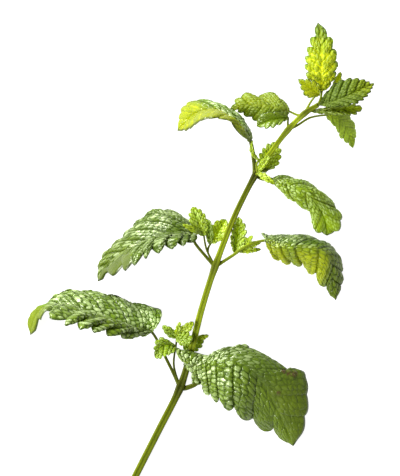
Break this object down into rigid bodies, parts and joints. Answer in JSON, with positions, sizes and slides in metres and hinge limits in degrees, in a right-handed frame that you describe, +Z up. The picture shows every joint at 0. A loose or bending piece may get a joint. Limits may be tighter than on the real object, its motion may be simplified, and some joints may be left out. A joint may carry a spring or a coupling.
{
  "type": "lemon balm sprig",
  "caption": "Cut sprig of lemon balm lying on a table, with a square stem, toothed and quilted leaves in opposite pairs, and young leafy shoots in the leaf axils.",
  "frame": {"origin": "on the table, under the middle of the sprig's plan", "axes": "+Y from the cut end towards the growing tip, +Z up from the table"},
  "size_m": [0.1392, 0.1894, 0.0329],
  "materials": {
    "stem": "smooth yellow-green stem skin, slightly glossy, darker at the nodes",
    "leaf": "quilted mid-green leaf with paler veins, satin gloss on the bumps",
    "young_leaf": "thin yellow-green young leaf, translucent, with a darker net of veins"
  },
  "bodies": {
    "root": {"main_stem": "stem", "leaf_1_left": "leaf", "leaf_1_right": "leaf", "leaf_2_left": "leaf", "leaf_2_right": "leaf", "leaf_3_left": "leaf", "leaf_3_right": "leaf", "leaf_4_left": "young_leaf", "leaf_4_right": "leaf", "leaf_5_left": "leaf", "leaf_6_up": "young_leaf", "leaf_6_right": "leaf", "shoot_1_left": "young_leaf", "shoot_1_right": "young_leaf", "shoot_2_left": "young_leaf", "shoot_2_right": "young_leaf", "shoot_3": "young_leaf", "tip_leaf_left": "young_leaf", "tip_leaf_low": "young_leaf", "tip_leaf_back": "young_leaf"}
  },
  "joints": []
}
